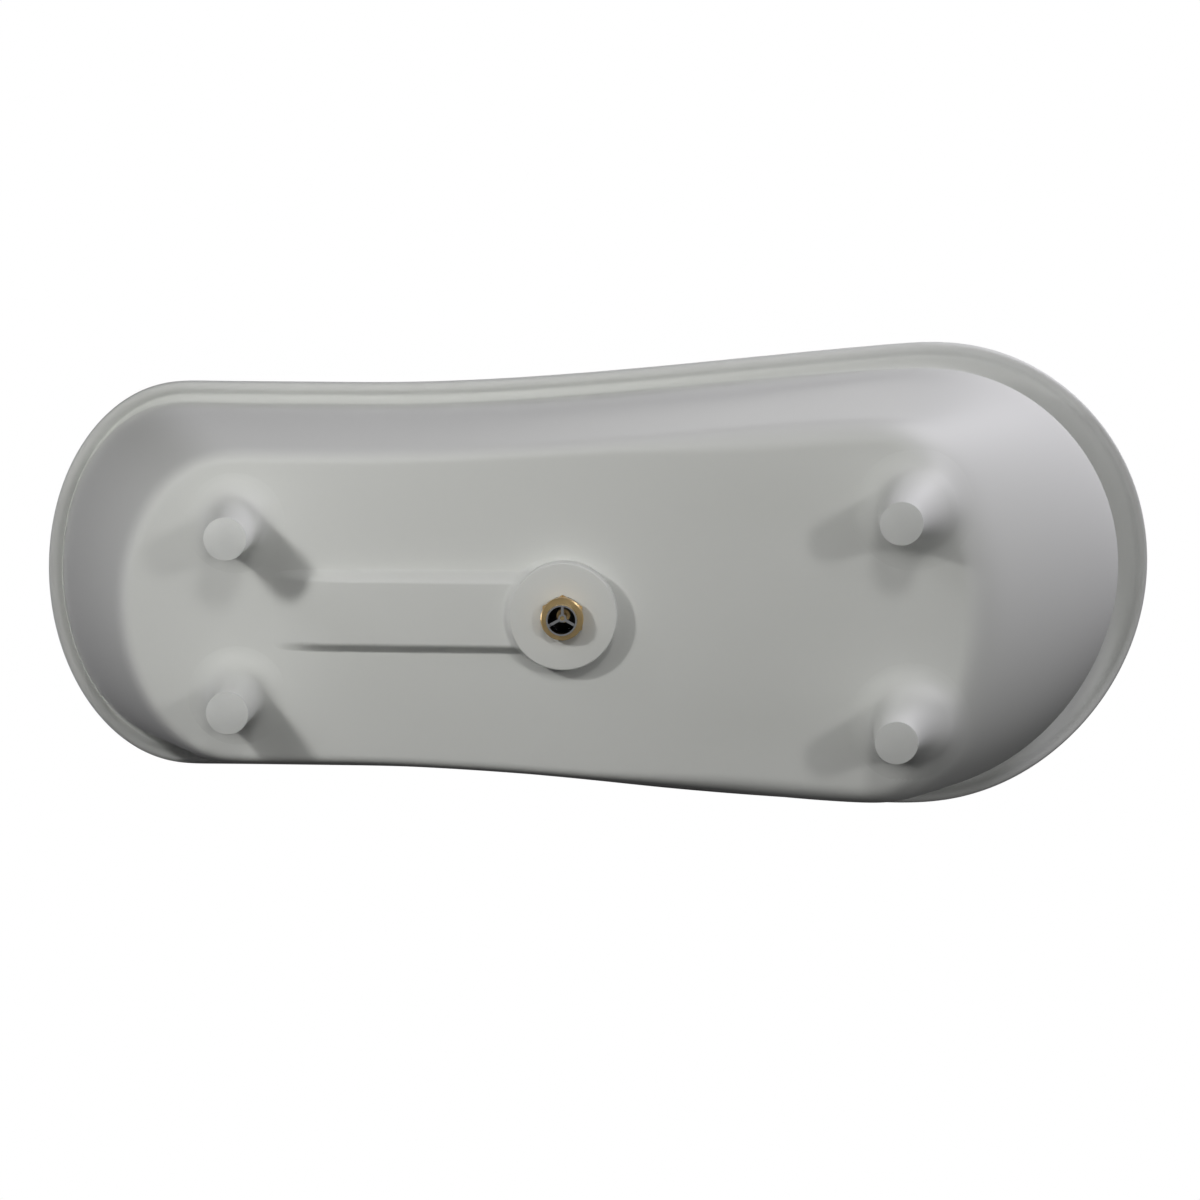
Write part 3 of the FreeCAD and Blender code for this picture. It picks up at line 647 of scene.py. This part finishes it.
def floor_plane():
    """A pale floor that shows from above and is clear from below."""
    made = bpy.data.materials.new("floor")
    made.use_nodes = True
    nodes, links = made.node_tree.nodes, made.node_tree.links
    shader = nodes["Principled BSDF"]
    shader.inputs["Base Color"].default_value = (0.86, 0.86, 0.86, 1.0)
    shader.inputs["Roughness"].default_value = 0.9
    clear = nodes.new("ShaderNodeBsdfTransparent")
    facing = nodes.new("ShaderNodeNewGeometry")
    either = nodes.new("ShaderNodeMixShader")
    links.new(facing.outputs["Backfacing"], either.inputs["Fac"])
    links.new(shader.outputs["BSDF"], either.inputs[1])
    links.new(clear.outputs["BSDF"], either.inputs[2])
    links.new(either.outputs["Shader"], nodes["Material Output"].inputs["Surface"])
    mesh = bpy.data.meshes.new("floor")
    size = 6.0
    corners = [(-size, -size, 0), (size, -size, 0), (size, size, 0), (-size, size, 0)]
    mesh.from_pydata(corners, [], [(0, 1, 2, 3)])
    plane = bpy.data.objects.new("floor", mesh)
    mesh.materials.append(made)
    bpy.context.scene.collection.objects.link(plane)
    plane.visible_shadow = False
    plane.visible_diffuse = False
    plane.visible_glossy = False


def white_world(surround):
    """White behind the object, a dimmer even light on it, and a brighter one for its metal to mirror."""
    world = bpy.data.worlds.new("surround")
    world.use_nodes = True
    nodes, links = world.node_tree.nodes, world.node_tree.links
    shown = nodes["Background"]
    shown.inputs["Color"].default_value = (1.0, 1.0, 1.0, 1.0)
    shown.inputs["Strength"].default_value = 1.0
    light = nodes.new("ShaderNodeBackground")
    light.inputs["Color"].default_value = (*surround["color"], 1.0)
    light.inputs["Strength"].default_value = surround["strength"]
    bright = nodes.new("ShaderNodeBackground")
    bright.inputs["Strength"].default_value = surround["mirrored"]
    path = nodes.new("ShaderNodeLightPath")
    either = nodes.new("ShaderNodeMixShader")
    links.new(path.outputs["Is Camera Ray"], either.inputs["Fac"])
    glossy = nodes.new("ShaderNodeMixShader")
    links.new(path.outputs["Is Glossy Ray"], glossy.inputs["Fac"])
    links.new(light.outputs["Background"], glossy.inputs[1])
    links.new(bright.outputs["Background"], glossy.inputs[2])
    links.new(glossy.outputs["Shader"], either.inputs[1])
    links.new(shown.outputs["Background"], either.inputs[2])
    links.new(either.outputs["Shader"], nodes["World Output"].inputs["Surface"])
    bpy.context.scene.world = world


def lamp(name, place, aim, size, watts, color):
    """A round soft light."""
    data = bpy.data.lights.new(name, "AREA")
    data.shape = "DISK"
    data.size = size
    data.energy = watts
    data.color = color
    light = bpy.data.objects.new(name, data)
    light.location = place
    light.rotation_mode = "QUATERNION"
    light.rotation_quaternion = (Vector(aim) - Vector(place)).to_track_quat("-Z", "Y")
    bpy.context.scene.collection.objects.link(light)


CAMERA_PLACE = Vector((0.1157, -0.4344, -3.028))
CAMERA_AIM = Vector((0.0089, -0.0398, 0.0))
CAMERA_ROLL = -0.00611
CAMERA_LENS = 71.85


def camera_below():
    """The camera under the bath, looking up, with -Y at the top of the picture."""
    forward = (CAMERA_AIM - CAMERA_PLACE).normalized()
    hint = Vector((math.sin(CAMERA_ROLL), -math.cos(CAMERA_ROLL), 0.0))
    up = (hint - forward * hint.dot(forward)).normalized()
    right = forward.cross(up)
    data = bpy.data.cameras.new("camera")
    data.lens = CAMERA_LENS
    data.sensor_width = 36.0
    camera = bpy.data.objects.new("camera", data)
    turned = Matrix((right, up, -forward)).transposed().to_4x4()
    camera.matrix_world = Matrix.Translation(CAMERA_PLACE) @ turned
    bpy.context.scene.collection.objects.link(camera)
    bpy.context.scene.camera = camera


casting = bath_casting()
bpy.context.view_layer.update()
underside = underside_of(casting)
for end in LEGS:
    for side, side_name in ((1, "left"), (-1, "right")):
        moulded_leg(end, side, underside)
        foot_pad(end, side, side_name)
overflow_channel()
boss()
finish_cad_nodes()
floor_plane()
white_world(SURROUND)
lamp("key", (-0.906, -0.633, -1.174), (0.0, 0.0, 0.16), 0.14, 6.5, WARM)
lamp("second", (2.446, -1.169, -4.1), MIDDLE, 0.5, 24.0, WARM)
lamp("third", (0.3, -1.545, -2.755), MIDDLE, 0.5, 12.0, WARM)
lamp("below_head", (1.591, -1.591, -3.547), MIDDLE, 1.4, 5.0, WARM)
lamp("below_foot", (-1.591, -1.591, -3.547), MIDDLE, 1.4, 9.5, WARM)
lamp("side", (3.182, -3.182, 0.35), MIDDLE, 1.4, 50.0, COOL)
lamp("high_side", (2.756, -2.756, 2.6), MIDDLE, 1.4, 58.0, COOL)
lamp("low_side", (-2.756, -2.756, -1.9), MIDDLE, 1.4, 9.0, COOL)
lamp("low_end", (3.897, 0.0, -1.9), MIDDLE, 1.4, 6.0, COOL)
lamp("foot_end", (-4.5, 0.0, 0.35), MIDDLE, 1.4, 20.0, COOL)
lamp("top", (0.3, -0.6, 3.2), (0.0, 0.0, 0.4), 1.6, 30.0, WARM)
camera_below()
bpy.context.scene.view_settings.view_transform = "Standard"
